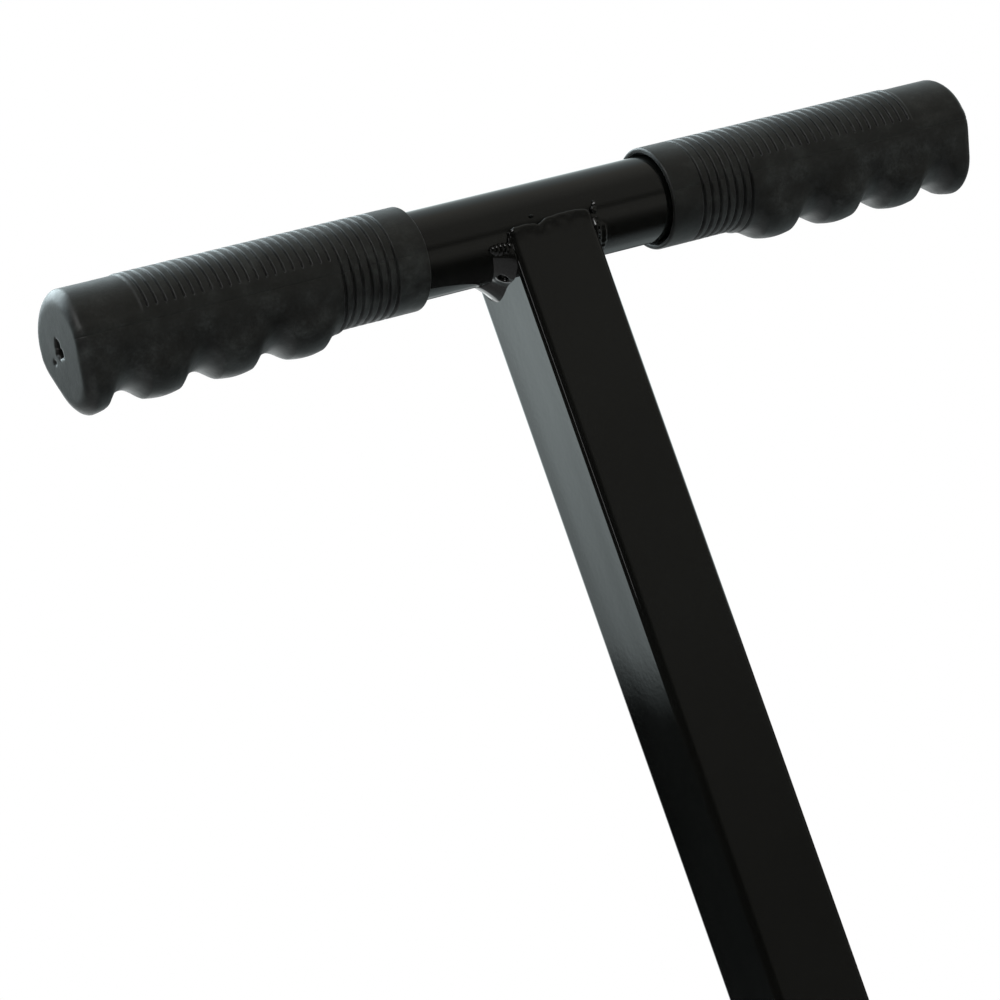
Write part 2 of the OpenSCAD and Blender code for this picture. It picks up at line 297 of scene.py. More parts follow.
def mix_colour(tree, factor, first, second, blend="MIX"):
    node = tree.nodes.new("ShaderNodeMix")
    node.data_type = "RGBA"
    node.blend_type = blend
    for socket, value in (("Factor", factor), ("A", first), ("B", second)):
        inputs = [i for i in node.inputs if i.name == socket and i.enabled]
        if isinstance(value, bpy.types.NodeSocket):
            tree.links.new(value, inputs[0])
        elif socket == "Factor":
            inputs[0].default_value = value
        else:
            inputs[0].default_value = (*value, 1.0)
    return [o for o in node.outputs if o.enabled][0]


def powder_coat():
    material, tree, shader = new_material("black_powder_coat", Metallic=0.0, IOR=1.5)
    coords = frame_coords(tree)
    cloud = noise_node(tree, coords, 30 * MM, 4.0)
    colour = ramp(tree, cloud, [(0.3, (0.0018, 0.0018, 0.0016)), (0.75, (0.0032, 0.0032, 0.0028))])
    tree.links.new(colour, shader.inputs["Base Color"])
    smear = noise_node(tree, coords, 12 * MM, 5.0, 0.6)
    tree.links.new(ramp(tree, smear, [(0.25, 0.030), (0.8, 0.055)]), shader.inputs["Roughness"])
    peel = bump(tree, noise_node(tree, coords, 1.6 * MM, 1.5), 0.02 * MM, 0.12)
    stretch = tree.nodes.new("ShaderNodeMapping")
    stretch.inputs["Scale"].default_value = (1.0, 1.0, 0.12)
    tree.links.new(coords, stretch.inputs["Vector"])
    drawn = bump(tree, noise_node(tree, stretch.outputs["Vector"], 22 * MM, 1.0), 0.1 * MM, 0.8, peel)
    tree.links.new(drawn, shader.inputs["Normal"])
    return material


def grip_rubber():
    """Dull moulded rubber with cloudy bloom, fine speckle and a pebbled skin."""
    material, tree, shader = new_material("grip_rubber", Metallic=0.0, IOR=1.5, Specular_IOR_Level=0.5,
                                          Sheen_Weight=0.10, Sheen_Roughness=0.30)
    coords = frame_coords(tree)
    cloud = noise_node(tree, coords, 9 * MM, 7.0, 0.68)
    colour = ramp(tree, cloud, [(0.36, (0.0040, 0.0042, 0.0038)), (0.52, (0.0080, 0.0083, 0.0075)),
                                (0.72, (0.022, 0.023, 0.021))])
    speckle = ramp(tree, noise_node(tree, coords, 0.9 * MM, 2.0), [(0.3, 0.72), (0.7, 1.35)])
    tree.links.new(mix_colour(tree, 1.0, colour, speckle, "MULTIPLY"), shader.inputs["Base Color"])
    tree.links.new(ramp(tree, cloud, [(0.3, 0.40), (0.75, 0.60)]), shader.inputs["Roughness"])
    grain = bump(tree, noise_node(tree, coords, 0.7 * MM, 3.0), 0.05 * MM, 0.6)
    soft = bump(tree, noise_node(tree, coords, 5 * MM, 3.0), 0.3 * MM, 0.35, grain)
    tree.links.new(soft, shader.inputs["Normal"])
    return material


def floor_material():
    material, tree, shader = new_material("floor", Roughness=0.8)
    cloud = noise_node(tree, frame_coords(tree), 0.3, 3.0)
    tree.links.new(ramp(tree, cloud, [(0.3, 0.78), (0.7, 0.82)]), shader.inputs["Base Color"])
    return material


def drawn_lines(tree, coords, spacing, height, normal=None):
    """A bump of fine lines along Z, as drawing, sliding or grinding leaves."""
    stretch = tree.nodes.new("ShaderNodeMapping")
    stretch.inputs["Scale"].default_value = (1.0, 1.0, 0.03)
    tree.links.new(coords, stretch.inputs["Vector"])
    return bump(tree, noise_node(tree, stretch.outputs["Vector"], spacing, 3.0, 0.7), height, 0.5, normal)


def bare_steel():
    """Oiled hot-rolled steel: dark scale, brighter where it's worn, with fine lines along it."""
    material, tree, shader = new_material("bare_steel", Metallic=1.0)
    coords = frame_coords(tree)
    steel = ramp(tree, noise_node(tree, coords, 9 * MM, 4.0),
                 [(0.3, (0.20, 0.20, 0.205)), (0.7, (0.34, 0.34, 0.35))])
    scale = ramp(tree, noise_node(tree, coords, 5 * MM, 6.0, 0.65), [(0.47, 0.0), (0.58, 0.85)])
    colour = mix_colour(tree, scale, steel, (0.060, 0.056, 0.055))
    rust = ramp(tree, noise_node(tree, coords, 2.2 * MM, 5.0, 0.7), [(0.62, 0.0), (0.74, 0.5)])
    tree.links.new(mix_colour(tree, rust, colour, (0.085, 0.034, 0.014)), shader.inputs["Base Color"])
    smear = noise_node(tree, coords, 3 * MM, 4.0)
    tree.links.new(ramp(tree, smear, [(0.3, 0.26), (0.7, 0.48)]), shader.inputs["Roughness"])
    grain = bump(tree, noise_node(tree, coords, 0.6 * MM, 2.0), 0.03 * MM, 0.4)
    tree.links.new(drawn_lines(tree, coords, 0.5 * MM, 0.05 * MM, grain), shader.inputs["Normal"])
    return material


def zinc_plate():
    """Bright zinc with a faint straw and blue cast, dull patches and small handling marks."""
    material, tree, shader = new_material("zinc_plate", Metallic=1.0)
    coords = frame_coords(tree)
    cast = ramp(tree, noise_node(tree, coords, 7 * MM, 3.0),
                [(0.3, (0.56, 0.59, 0.63)), (0.5, (0.63, 0.63, 0.62)), (0.7, (0.66, 0.63, 0.54))])
    dull = ramp(tree, noise_node(tree, coords, 1.8 * MM, 5.0, 0.65), [(0.35, 0.72), (0.65, 1.0)])
    tree.links.new(mix_colour(tree, 1.0, cast, dull, "MULTIPLY"), shader.inputs["Base Color"])
    smear = noise_node(tree, coords, 2.5 * MM, 4.0)
    tree.links.new(ramp(tree, smear, [(0.3, 0.18), (0.7, 0.36)]), shader.inputs["Roughness"])
    grain = bump(tree, noise_node(tree, coords, 0.35 * MM, 3.0), 0.02 * MM, 0.4)
    marks = bump(tree, noise_node(tree, coords, 1.5 * MM, 2.0), 0.05 * MM, 0.3, grain)
    tree.links.new(marks, shader.inputs["Normal"])
    return material


def black_plastic():
    """Moulded nylon with a fine spark-eroded skin and rubbing lines along Z."""
    material, tree, shader = new_material("black_plastic", Metallic=0.0)
    coords = frame_coords(tree)
    cloud = noise_node(tree, coords, 10 * MM, 4.0)
    colour = ramp(tree, cloud, [(0.3, (0.011, 0.011, 0.012)), (0.7, (0.022, 0.022, 0.021))])
    tree.links.new(colour, shader.inputs["Base Color"])
    tree.links.new(ramp(tree, cloud, [(0.3, 0.36), (0.7, 0.52)]), shader.inputs["Roughness"])
    grain = bump(tree, noise_node(tree, coords, 0.4 * MM, 2.0), 0.04 * MM, 0.5)
    tree.links.new(drawn_lines(tree, coords, 0.9 * MM, 0.04 * MM, grain), shader.inputs["Normal"])
    return material


# ---------------- mesh helpers
def add_piece(name, points, faces, material, body, slot, *replaced):
    """Makes a smooth mesh piece from points in metres and puts it on a body."""
    mesh = bpy.data.meshes.new(name)
    mesh.from_pydata([tuple(p) for p in points], [], faces)
    form = bmesh.new()
    form.from_mesh(mesh)
    bmesh.ops.recalc_face_normals(form, faces=form.faces)
    form.to_mesh(mesh)
    form.free()
    mesh.materials.append(material)
    mesh.shade_smooth()
    piece = bpy.data.objects.new(name, mesh)
    bpy.context.scene.collection.objects.link(piece)
    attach(piece, body)
    if replaced:
        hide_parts(*replaced)
    return piece


def ring_faces(rings, sides, closed):
    """Quads between rings of equally many points; closed joins the last ring to the first."""
    faces = []
    last = rings if closed else rings - 1
    for i in range(last):
        a, b = i * sides, (i + 1) % rings * sides
        for j in range(sides):
            k = (j + 1) % sides
            faces.append((a + j, a + k, b + k, b + j))
    return faces


def closed_mesh(rings):
    """Points and faces of a form whose last ring joins its first."""
    points = [point for ring in rings for point in ring]
    return points, ring_faces(len(rings), len(rings[0]), closed=True)


def tube_mesh(rings):
    """Points and faces of a closed form from rings of equally many points, with capped ends."""
    sides = len(rings[0])
    points = [point for ring in rings for point in ring]
    faces = ring_faces(len(rings), sides, closed=False)
    faces.append(tuple(range(sides - 1, -1, -1)))
    faces.append(tuple(range((len(rings) - 1) * sides, len(rings) * sides)))
    return points, faces


def ball_mesh(subdivisions, radius, place):
    """Points and faces of a ball, with each point moved by the function place."""
    form = bmesh.new()
    bmesh.ops.create_icosphere(form, subdivisions=subdivisions, radius=radius)
    points = [place(vert.co.copy()) for vert in form.verts]
    faces = [tuple(vert.index for vert in face.verts) for face in form.faces]
    form.free()
    return points, faces


def join_meshes(*parts):
    points, faces = [], []
    for part_points, part_faces in parts:
        start = len(points)
        points += part_points
        faces += [tuple(start + k for k in face) for face in part_faces]
    return points, faces


# ---------------- grips
# Lengths are along the bar from its middle
GRIP_INNER = GRIP_LOW.x
GRIP_OUTER = GRIP_HIGH.x
GRIP_END_WALL = 4.0 * MM
FIRST_VALLEY = GRIP_INNER + 28.8 * MM
FINGER_PITCH = 23.8 * MM
LAST_VALLEY = FIRST_VALLEY + 3 * FINGER_PITCH
VALLEY_REACH = GRIP_R + 0.9 * MM
VALLEY_RADIUS = 6.6 * MM
LOBE_RADIUS = 12.0 * MM
CREST_BULGE = 1.5 * MM
CREST_GROWTH = 0.012
CREST_SOFTNESS = 0.7 * MM
INNER_ROUNDING = 0.6 * MM
END_ROUNDING = 3.4 * MM
END_DOME = 0.7 * MM
GROOVE_FIRST = GRIP_INNER + 11.2 * MM
GROOVE_PITCH = 2.98 * MM
GROOVE_COUNT = 28
FULL_RINGS = 7
GROOVE_HALF_WIDTH = 0.42 * MM
GROOVE_DEPTH = 0.90 * MM
RING_DEPTH = 1.15 * MM
RIB_END_ANGLE = math.radians(83.0)
TOP_STEP = 0.35 * MM
PARTING_DROP = 2.6 * MM
PARTING_DEPTH = 0.14 * MM
PARTING_WIDTH = 0.20 * MM
# The vent hole's middle below the bar's axis, and a nick beside the hole
VENT_DROP = 1.6 * MM
NICK_Y = 5.6 * MM
NICK_Z = -3.8 * MM
NICK_RADIUS = 0.75 * MM
NICK_DEPTH = 0.8 * MM


def smoothstep(value):
    value = np.clip(value, 0.0, 1.0)
    return value * value * (3.0 - 2.0 * value)


def folded_angles(angles):
    """Angles from the top down either side, as one row."""
    return np.where(angles > math.pi, 2 * math.pi - angles, angles)[None, :]


def section_angles():
    """Angles from the grip's top, closer together at the rib ends and the parting line."""
    parting = math.pi / 2 + math.asin(PARTING_DROP / GRIP_R)
    near = parting + np.array([-0.65, -0.35, -0.15, 0.0, 0.15, 0.35, 0.65]) * MM / GRIP_R
    half = np.concatenate([np.radians(np.arange(0.0, 74.0, 3.0)),
                           np.radians(np.arange(74.0, 94.0, 1.25)),
                           near,
                           np.radians(np.arange(104.0, 180.0, 2.5))])
    return np.concatenate([half, [math.pi], 2 * math.pi - half[:0:-1]])


def valley_distance(x):
    """Distance of each x from the nearest finger valley, and no more than half a pitch at the end."""
    index = np.clip(np.round((x - FIRST_VALLEY) / FINGER_PITCH), 0, 3)
    away = np.abs(x - (FIRST_VALLEY + index * FINGER_PITCH))
    return np.where(x > LAST_VALLEY, np.minimum(away, FINGER_PITCH / 2), away)


def crest_drops(x):
    """Depth below the bar's axis of the lobes, before the valleys are cut, with domed crests."""
    flank = np.cos(math.pi * np.minimum(valley_distance(x), FINGER_PITCH / 2) / FINGER_PITCH) ** 2
    return LOBE_DROP + CREST_GROWTH * (x - GRIP_OUTER) - CREST_BULGE * flank


def valley_reach(x):
    """Distance from the axis that the finger valleys leave."""
    away = valley_distance(x)
    bowl = VALLEY_REACH + VALLEY_RADIUS - np.sqrt(np.maximum(VALLEY_RADIUS**2 - away**2, 0.0))
    bowl = np.where(away < VALLEY_RADIUS, bowl, VALLEY_REACH + 6 * away - 5 * VALLEY_RADIUS)
    start = smoothstep((x - FIRST_VALLEY) / (2.5 * MM) + 1)
    return np.where(x < FIRST_VALLEY, GRIP_R + (VALLEY_REACH - GRIP_R) * start, bowl)


def section_radii(angles, drops, reach):
    """Distance from the axis to the skin: a teardrop for each drop, cut back to each reach."""
    centre = (drops - LOBE_RADIUS)[:, None]
    slope = np.arcsin((GRIP_R - LOBE_RADIUS) / centre)
    across, up = np.abs(np.sin(angles))[None, :], np.cos(angles)[None, :]
    flat = GRIP_R / np.maximum(across * np.cos(slope) - up * np.sin(slope), 1e-6)
    root = np.maximum((up * centre) ** 2 - centre**2 + LOBE_RADIUS**2, 0.0)
    round_low = np.sqrt(root) - up * centre
    turn_in = np.arctan2(LOBE_RADIUS * np.cos(slope), -(centre + LOBE_RADIUS * np.sin(slope)))
    folded = folded_angles(angles)
    lobe = np.where(folded > turn_in, round_low, flat)
    k = CREST_SOFTNESS
    cut = -k * np.logaddexp(-lobe / k, -reach[:, None] / k)
    return np.where(folded <= math.pi / 2 + slope, GRIP_R, np.maximum(cut, GRIP_R))


def groove_cut(x, angles):
    """Depth of the rib grooves: whole rings in the collar, the top half only beyond it."""
    index = np.clip(np.round((x - GROOVE_FIRST) / GROOVE_PITCH), 0, GROOVE_COUNT - 1)
    away = np.abs(x - (GROOVE_FIRST + index * GROOVE_PITCH))[:, None]
    folded = folded_angles(angles)
    ring = (index < FULL_RINGS)[:, None]
    past_end = np.where(ring, 0.0, np.maximum(folded - RIB_END_ANGLE, 0.0) * GRIP_R)
    low_side = smoothstep((folded - math.radians(92)) / math.radians(16))
    half_width = GROOVE_HALF_WIDTH * np.where(ring, 1.0 + 0.75 * low_side, 1.0)
    distance = np.hypot(away, past_end) / half_width
    depth = np.where(ring, GROOVE_DEPTH + (RING_DEPTH - GROOVE_DEPTH) * low_side, GROOVE_DEPTH)
    return depth * smoothstep(2.0 * (1.0 - distance))


def grip_skin(x, angles):
    """Radii of the outer skin, rows for x and columns for angles."""
    radii = section_radii(angles, crest_drops(x), valley_reach(x))
    radii = radii - groove_cut(x, angles)
    folded = folded_angles(angles)
    ribs_end = GROOVE_FIRST + (GROOVE_COUNT - 0.6) * GROOVE_PITCH
    top = 1.0 - smoothstep((folded - RIB_END_ANGLE) / math.radians(10))
    radii = radii - TOP_STEP * top * smoothstep((x - ribs_end) / (1.2 * MM))[:, None]
    height = radii * np.cos(angles)[None, :]
    return radii - PARTING_DEPTH * np.exp(-(((height + PARTING_DROP) / PARTING_WIDTH) ** 2))


def grip_stations():
    """Distances along the grip for its rings, closer together over the grooves."""
    ribs_from = GROOVE_FIRST - 1.5 * MM
    ribs_to = GROOVE_FIRST + GROOVE_COUNT * GROOVE_PITCH
    plain = np.arange(GRIP_INNER + 1.0 * MM, ribs_from, 1.0 * MM)
    ribbed = np.arange(ribs_from, ribs_to, GROOVE_PITCH / 18)
    end = np.linspace(ribs_to, GRIP_OUTER - END_ROUNDING, 18)
    return np.concatenate([plain, ribbed, end])


def vent_radii(angles):
    """A ragged vent hole, taller than it is wide."""
    return (2.2 + 0.60 * np.cos(2 * angles) + 0.32 * np.cos(3 * angles + 0.6)
            + 0.16 * np.cos(7 * angles)) * MM


def grip_rings():
    """Every ring of the grip as (x, radii, drop below the axis), round the section of its wall."""
    angles = section_angles()
    ones = np.ones_like(angles)
    bore = BAR_R + 0.04 * MM
    deep = GRIP_OUTER - GRIP_END_WALL
    rings = [(deep, bore * ones)]
    rings += [(x, bore * ones) for x in np.linspace(deep - 2 * MM, GRIP_INNER + 3 * MM, 12)]
    rings += [(GRIP_INNER + 1.6 * MM, (bore + 0.15 * MM) * ones),
              (GRIP_INNER + 0.5 * MM, (bore + 0.85 * MM) * ones),
              (GRIP_INNER + 0.1 * MM, (bore + 1.05 * MM) * ones),
              (GRIP_INNER, (bore + 1.25 * MM) * ones)]
    for turn in np.radians([0, 25, 50, 70, 90]):
        rings.append((GRIP_INNER + INNER_ROUNDING * (1 - math.cos(turn)),
                      (GRIP_R - INNER_ROUNDING * (1 - math.sin(turn))) * ones))
    stations = grip_stations()
    skin = grip_skin(stations, angles)
    rings += list(zip(stations, skin))
    edge = skin[-1]
    corner = END_ROUNDING * (1 + 0.5 * np.cos(angles) ** 2)
    for turn in np.radians(np.arange(10, 91, 10)):
        inset = corner * (1 - math.cos(turn))
        rings.append((GRIP_OUTER - END_ROUNDING * (1 - math.sin(turn)), edge - inset))
    rings = [(x, radii, 0.0) for x, radii in rings]
    rim = edge - corner
    vent = vent_radii(angles)
    for share in np.linspace(0.04, 0.94, 24):
        rings.append((GRIP_OUTER, rim + (vent + 0.5 * MM - rim) * share, share * VENT_DROP))
    rings += [(GRIP_OUTER - 0.12 * MM, vent + 0.25 * MM, VENT_DROP),
              (GRIP_OUTER - 0.5 * MM, vent, VENT_DROP),
              (GRIP_OUTER - 2.0 * MM, vent - 0.15 * MM, VENT_DROP),
              (deep, vent + 0.3 * MM, VENT_DROP)]
    return angles, rings


def make_grip(name, side, material):
    """One rubber grip; side is 1 for the right and -1 for the left."""
    angles, rings = grip_rings()
    points = []
    for x, radii, drop in rings:
        for angle, radius in zip(angles, radii):
            y, z = radius * math.sin(angle), radius * math.cos(angle) - drop
            nick = math.hypot(y - NICK_Y, z - NICK_Z) / NICK_RADIUS
            inward = NICK_DEPTH * math.exp(-nick**2) if x == GRIP_OUTER else 0.0
            inward += END_DOME * (z / GRIP_R) ** 2 * smoothstep((x - GRIP_OUTER) / (8 * MM) + 1)
            spot = Vector((side * (x - inward), y, z))
            if radius > BAR_R + 1.5 * MM:
                sway = noise.noise(spot * 70.0) * 0.09 * MM + noise.noise(spot * 260.0) * 0.025 * MM
                spot -= Vector((0.0, y, z)).normalized() * (abs(sway) if x < GRIP_OUTER else 0.0)
            points.append(spot + Vector((0.0, 0.0, BAR_Z)))
    faces = ring_faces(len(rings), len(angles), closed=True)
    return add_piece(name + "_moulded", points, faces, material, "ram", "grip_rubber", name)


# ---------------- welds at the crossbar
# Each side fillet by angle down from the front: (degrees, leg on the bar, leg on the wall) in mm
LEFT_FILLET = [(27, 3.0, 1.0), (34, 6.0, 4.0), (46, 5.6, 4.9), (60, 5.2, 4.6), (70, 4.4, 3.6),
               (80, 3.6, 3.3), (88, 4.2, 4.0), (97, 6.2, 5.0), (105, 6.8, 6.3), (117, 6.4, 6.0),
               (128, 5.6, 5.0), (145, 4.2, 3.4), (167, 1.6, 0.6)]
RIGHT_FILLET = [(17, 2.0, 0.6), (27, 5.2, 3.0), (60, 5.9, 3.6), (90, 5.2, 3.9), (120, 5.0, 3.8),
                (150, 4.2, 3.0), (168, 1.6, 0.6)]
# The pit in the left fillet, by angle and by its place from the bar's toe (0) to the wall's (1)
PIT_ANGLE = math.radians(66.0)
PIT_PLACE = 0.50
PIT_HALF_HEIGHT = 1.25 * MM
PIT_HALF_WIDTH = 0.27
PIT_DEPTH = 1.3 * MM
# The rippled end of the left bead, by its angle down from the front and its radius
BEAD_ANGLE = math.radians(27.0)
BEAD_RADIUS = 2.4 * MM


def bar_point(x, turn, reach):
    """A point at a distance from the bar's axis, turned down from the front by an angle."""
    return Vector((x, -reach * math.cos(turn), BAR_Z - reach * math.sin(turn)))


def lumps(spot, size, height, seed):
    """Smooth bumps about size metres apart, up to about height high."""
    return noise.noise(Vector(spot) / size + Vector((seed, seed, seed))) * height


def pit_depth(turn, s):
    """Depth of the pit, less its raised lower lip."""
    high = (turn - PIT_ANGLE) * (BAR_R + 1.5 * MM) / PIT_HALF_HEIGHT
    wide = (s - PIT_PLACE) / PIT_HALF_WIDTH
    offset = math.hypot(high, wide)
    lip = 0.40 * MM * math.exp(-((offset - 1.25) / 0.25) ** 2) * min(1.0, max(0.0, high))
    return PIT_DEPTH * max(0.0, 1 - offset**2.5) - lip


def eased(stops, angles, legs):
    """Legs at each angle, with the corners of the straight runs between them rounded off."""
    nearby = [np.interp(angles + shift, stops, legs) for shift in np.linspace(-4.0, 4.0, 9)]
    return np.mean(nearby, axis=0) * MM


def side_fillet_rings(side, legs, ripple, rolled, pitted, seed):
    """The fillet between the bar's underside and a side wall, from the front round to the back."""
    stops, bar_legs, wall_legs = np.array(legs, float).T
    angles = np.arange(stops[0], stops[-1] + 0.25, 0.5)
    wall_x = POST_HALF - 0.15 * MM
    steps = 44
    rings = []
    for angle, leg, drop in zip(angles, eased(stops, angles, bar_legs), eased(stops, angles, wall_legs)):
        turn = math.radians(angle)
        leg += lumps((turn * BAR_R, 0.0, 0.0), 4.0 * MM, 0.35 * MM, seed)
        drop += lumps((0.0, turn * BAR_R, 0.0), 4.0 * MM, 0.25 * MM, seed)
        along = turn * BAR_R / (1.7 * MM)
        ring = [bar_point(side * (wall_x - 1.2 * MM), turn, BAR_R - 0.8 * MM)]
        toe_bar = Vector((wall_x + leg, BAR_R - 0.05 * MM))
        toe_wall = Vector((wall_x, BAR_R + drop))
        middle = Vector((wall_x + 0.40 * leg, BAR_R + 0.36 * drop))
        outward = Vector((drop, leg)).normalized()
        for j in range(steps + 1):
            s = j / steps
            place = (1 - s) ** 2 * toe_bar + 2 * s * (1 - s) * middle + s**2 * toe_wall
            belly = math.sin(math.pi * s)
            rise = 0.22 * MM * belly**0.4
            rise += ripple * belly**0.5 * math.cos(2 * math.pi * (along + 1.4 * (s - 0.5) ** 2))
            rise += rolled * (math.exp(-((s - 0.24) / 0.13) ** 2) - 0.7 * math.exp(-((s - 0.5) / 0.1) ** 2))
            rise += lumps((place.x, turn * BAR_R, place.y), 4.0 * MM, 0.05 * MM, seed) * belly
            if pitted:
                rise -= pit_depth(turn, s)
            place = place + outward * rise
            ring.append(bar_point(side * place.x, turn, place.y))
        rings.append(ring)
    return rings


def face_weld_rings(face, passes, seed):
    """The weld over the coped edge of the front (-1) or back (1) wall, up to its toe on the bar."""
    rings = []
    half = POST_HALF + 0.015 * MM
    foot = -8.5 * MM
    steps = 24
    for x in np.linspace(-half, half, 140):
        toe = -9.0 * MM
        for middle, reach, top in passes:
            toe = max(toe, top - 2.9 * MM * (abs(x - middle) / reach) ** 3.2)
        toe += lumps((x, 0.0, 0.0), 2.5 * MM, 0.28 * MM, seed)
        past = max(0.0, abs(x) - POST_HALF + POST_CORNER)
        front = POST_HALF - POST_CORNER + math.sqrt(max(0.0, (POST_CORNER + 0.02 * MM) ** 2 - past**2))
        on_bar = math.sqrt(BAR_R**2 - toe**2) - 0.15 * MM
        lip = 0.9 * MM + lumps((x, 0.0, 2.0), 2.0 * MM, 0.25 * MM, seed)
        ring = [(on_bar - 0.6 * MM, toe - 1.5 * MM), (front - 1.2 * MM, foot), (front, foot)]
        for j in range(steps + 1):
            s = j / steps
            height = foot + 0.05 * MM + (toe - lip - foot - 0.05 * MM) * s
            out = front + 0.32 * MM * s**3
            out += lumps((x, height, 1.0), 2.8 * MM, 0.17 * MM, seed) * s**1.5
            ring.append((out, height))
        brow = ring[-1][0]
        for turn in np.radians([18, 36, 54, 72, 90]):
            ring.append((brow - lip * (1 - math.cos(turn)), toe - lip * (1 - math.sin(turn))))
        ring.append((on_bar, toe + 0.1 * MM))
        rings.append([Vector((x, face * y, BAR_Z + z)) for y, z in ring])
    return rings


def bead_end_rings(side, seed):
    """The rippled end of a bead that runs out along the bar beside the upright's front corner."""
    rings = []
    sides = 36
    start, end = POST_HALF - 2.4 * MM, POST_HALF + 6.9 * MM
    for share in np.linspace(0.0, 1.0, 220):
        x = start + (end - start) * share
        fade = math.sqrt(max(0.0, 1 - abs((share - 0.40) / 0.605) ** 3.5)) * (1 - 0.22 * share)
        ring = []
        for j in range(sides):
            angle = 2 * math.pi * j / sides
            slant = 0.20 * math.sin(angle) + 0.36 * math.cos(angle) ** 2
            across = 2 * ((4.4 * share + 1.6 * share**2 + slant) % 1.0) - 1
            radius = BEAD_RADIUS * fade * (0.50 + 0.50 * math.sqrt(max(0.0, 1 - across**2)))
            radius += lumps((x, math.cos(angle) * MM, math.sin(angle) * MM), 1.2 * MM, 0.14 * MM, seed) * fade
            turn = BEAD_ANGLE + 0.09 * (1 - share) - radius * math.sin(angle) * 0.95 / BAR_R
            reach = BAR_R + 0.25 * MM + radius * math.cos(angle) * 0.85
            ring.append(bar_point(side * x, turn, reach))
        rings.append(ring)
    return rings


def spatter_mesh(x, turn, radius, face=-1, stretch=0.8):
    """A drop of spatter that sits on the bar, towards its front (-1) or its back (1)."""
    centre = bar_point(x, turn, BAR_R + 0.25 * radius)
    centre.y *= -face

    def place(spot):
        spot *= 1 + lumps(spot, radius, 0.35, x * 900)
        spot.z *= stretch
        return spot + centre

    return ball_mesh(3, radius, place)


def corner_lump(seed):
    """Weld metal that rolls over the upright's front left corner, above the bead's end."""
    centre = Vector((-POST_HALF + 2.5 * MM, -POST_HALF + 2.9 * MM, BAR_Z - 4.8 * MM))

    def place(spot):
        spot = Vector((3.0 * spot.x, 2.6 * spot.y, 3.8 * spot.z)) * MM
        spot *= 1 + lumps(spot, 3.0 * MM, 0.08, seed)
        return centre + spot

    return ball_mesh(5, 1.0, place)


def make_handle_welds(material):
    slot = "black_powder_coat"
    left = join_meshes(tube_mesh(side_fillet_rings(-1, LEFT_FILLET, 0.01 * MM, 0.0, True, 3.0)),
                       tube_mesh(bead_end_rings(-1, 5.0)))
    add_piece("left_weld_bead", *left, material, "ram", slot, "left_weld")
    right = join_meshes(tube_mesh(side_fillet_rings(1, RIGHT_FILLET, 0.05 * MM, 0.5 * MM, False, 8.0)),
                        spatter_mesh(POST_HALF + 1.9 * MM, math.radians(1.5), 0.8 * MM, stretch=1.5),
                        spatter_mesh(POST_HALF + 1.2 * MM, math.radians(7.0), 1.1 * MM, stretch=1.3))
    add_piece("right_weld_bead", *right, material, "ram", slot, "right_weld")
    front = join_meshes(tube_mesh(face_weld_rings(-1, [(-9.8 * MM, 7.0 * MM, -1.3 * MM),
                                                       (5.4 * MM, 11.6 * MM, -0.5 * MM)], 12.0)),
                        corner_lump(12.0),
                        spatter_mesh(-5.2 * MM, math.radians(-3.0), 0.75 * MM))
    add_piece("front_weld_bead", *front, material, "ram", slot, "front_weld")
    back = join_meshes(tube_mesh(face_weld_rings(1, [(-7.0 * MM, 9.4 * MM, -0.6 * MM),
                                                     (8.0 * MM, 8.6 * MM, -1.0 * MM)], 21.0)),
                       spatter_mesh(9.5 * MM, math.radians(-5.0), 0.6 * MM, face=1))
    add_piece("back_weld_bead", *back, material, "ram", slot, "back_weld")


# ---------------- fasteners
BOLT_LOW, BOLT_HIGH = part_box("stop_bolt")
BOLT_Z = (BOLT_LOW.z + BOLT_HIGH.z) / 2
BOLT_R = 5.0 * MM
BOLT_HOLE_R = 5.25 * MM
THREAD_PITCH = 1.5 * MM
THREAD_DEPTH = 0.75 * MM
THREAD_LENGTH = 32 * MM
WASHER_LOW, WASHER_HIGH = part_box("stop_washers")
WASHER_THICKNESS = 2.5 * MM
NUT_LOW, NUT_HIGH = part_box("stop_nut")
HEX_CORNER = (BOLT_HIGH.x - BOLT_LOW.x) / 2
HEX_CLEARANCE = 0.02 * MM
SCREW_LOW, SCREW_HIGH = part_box("bush_screws")
SCREW_HEAD_R = 4.5 * MM
SCREW_HEAD_HEIGHT = 2.6 * MM
SCREW_LENGTH = 8.0 * MM


def hex_radius(angle, corner):
    """Distance to a hexagon's edge, with a corner at angle 0."""
    turn = (angle + math.pi / 6) % (math.pi / 3) - math.pi / 6
    return corner * math.cos(math.pi / 6) / math.cos(math.pi / 6 - abs(turn))


def along_y(radii, y):
    """A ring round the stop bolt's axis at y, from its radii."""
    ring = []
    for k, radius in enumerate(radii):
        angle = 2 * math.pi * k / len(radii)
        ring.append(Vector((radius * math.cos(angle), y, BOLT_Z - radius * math.sin(angle))))
    return ring


def turned_rings(profile, sides=96):
    """Rings of a form turned round the stop bolt's axis, from (radius, y)."""
    return [along_y([radius] * sides, y) for radius, y in profile]


def hex_rings(face, back, chamfer, sides=120):
    """Rings of a hexagon whose outer face at y = face is chamfered to a circle."""
    towards = 1 if face > back else -1
    angles = [2 * math.pi * k / sides for k in range(sides)]
    flat = HEX_CORNER * math.cos(math.pi / 6)
    rings = [along_y([hex_radius(a, HEX_CORNER) - HEX_CLEARANCE for a in angles], back)]
    for share in (0.0, 0.35, 0.7, 1.0):
        y = face - towards * chamfer * (1 - share)
        limit = HEX_CORNER - (HEX_CORNER - flat + 0.35 * MM) * share
        rings.append(along_y([min(hex_radius(a, HEX_CORNER) - HEX_CLEARANCE, limit) for a in angles], y))
    rings.append(along_y([flat - 0.8 * MM] * sides, face))
    return rings


